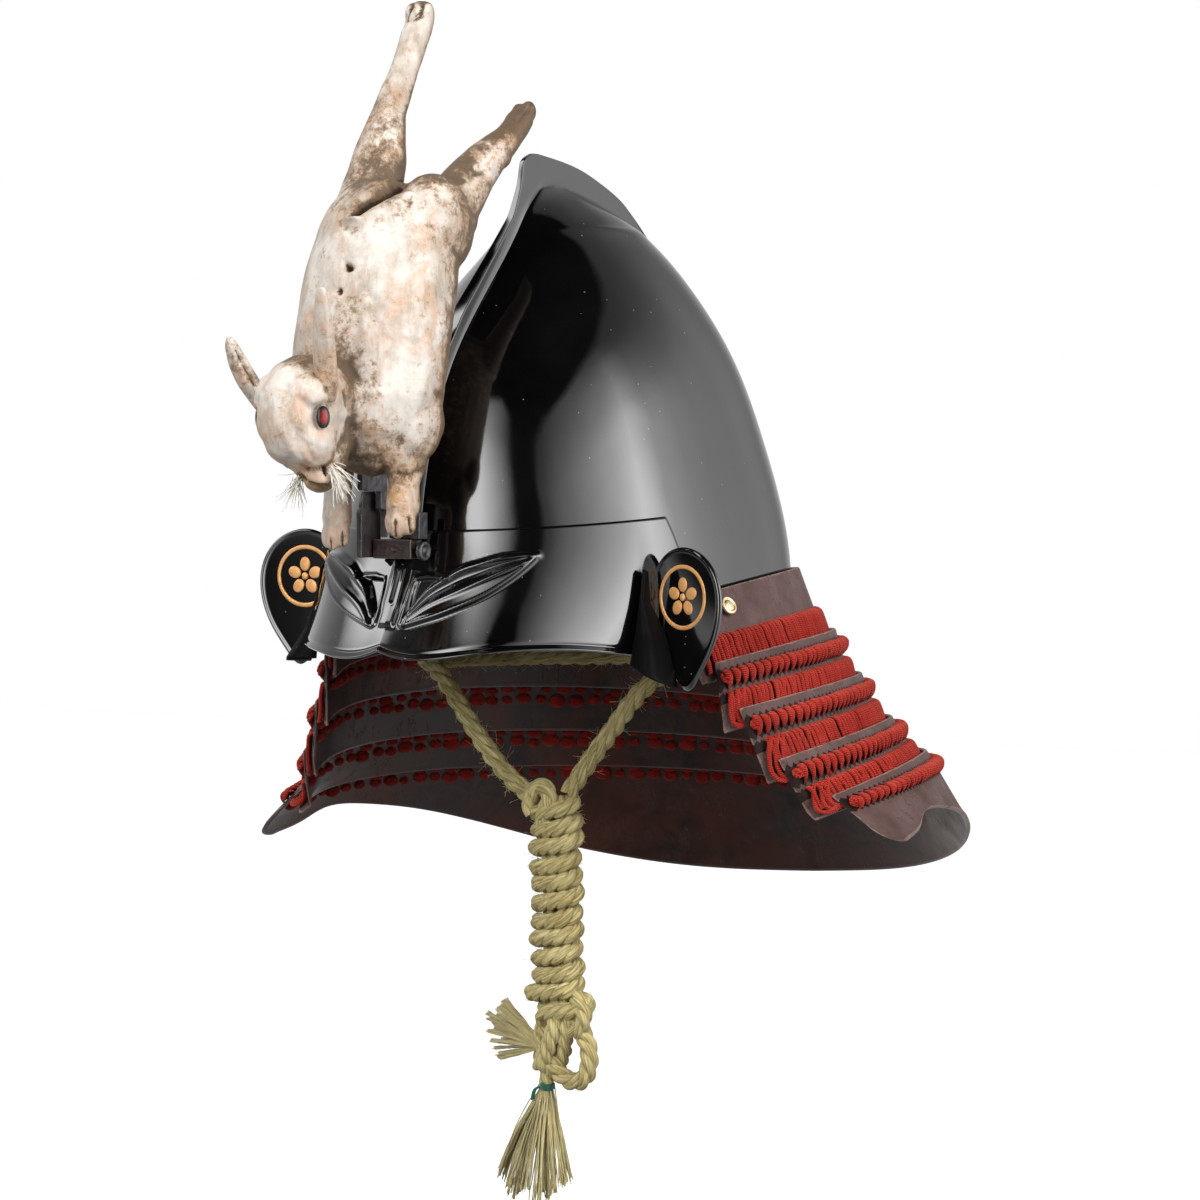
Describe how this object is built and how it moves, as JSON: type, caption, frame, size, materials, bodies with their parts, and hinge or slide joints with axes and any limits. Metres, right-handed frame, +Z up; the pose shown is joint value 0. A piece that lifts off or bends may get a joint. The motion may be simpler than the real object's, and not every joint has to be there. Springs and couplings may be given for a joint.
{
  "type": "samurai helmet",
  "caption": "Black lacquered samurai helmet with a leaping hare crest, gilt-ringed turn-backs, a red-laced neck guard of five lames and a jute chin cord.",
  "frame": {"origin": "centre of the bowl's rim, where the helmet sits on the wearer's head", "axes": "+Z up, -Y towards the wearer's face and the crest, +X towards the wearer's left side"},
  "size_m": [0.362, 0.43, 0.5518],
  "materials": {
    "lacquer": "gloss",
    "leather": "satin",
    "silk": "matte",
    "gilt": "satin",
    "dark_metal": "satin",
    "carved": "matte",
    "eye": "gloss",
    "jute": "matte",
    "thread": "matte"
  },
  "bodies": {
    "root": {"bowl_half_left": "lacquer", "bowl_half_right": "lacquer", "brow_plate": "lacquer", "turn_back_left": "lacquer", "turn_back_right": "lacquer", "neck_lame_1": "leather", "neck_lame_2": "leather", "neck_lame_3": "leather", "neck_lame_4": "leather", "neck_lame_5": "leather", "lacing_1": "silk", "lacing_2": "silk", "lacing_3": "silk", "lacing_4": "silk", "binding_2": "silk", "binding_3": "silk", "binding_4": "silk", "binding_5": "silk", "rivet_left": "gilt", "rivet_right": "gilt", "rivet_back": "gilt", "bracket_base": "dark_metal", "bracket_back": "dark_metal", "bracket_cheek_left": "dark_metal", "bracket_cheek_right": "dark_metal", "bracket_pin": "dark_metal", "crest_tang": "dark_metal", "hare_figure": "carved", "hare_ear_left": "carved", "hare_ear_right": "carved", "hare_eye_left": "eye", "hare_eye_right": "eye", "chin_cord": "jute", "cord_bundle": "jute", "cord_loop": "jute", "cord_tuft": "jute", "tassel_tie": "thread", "cord_tassel": "jute"}
  },
  "joints": []
}
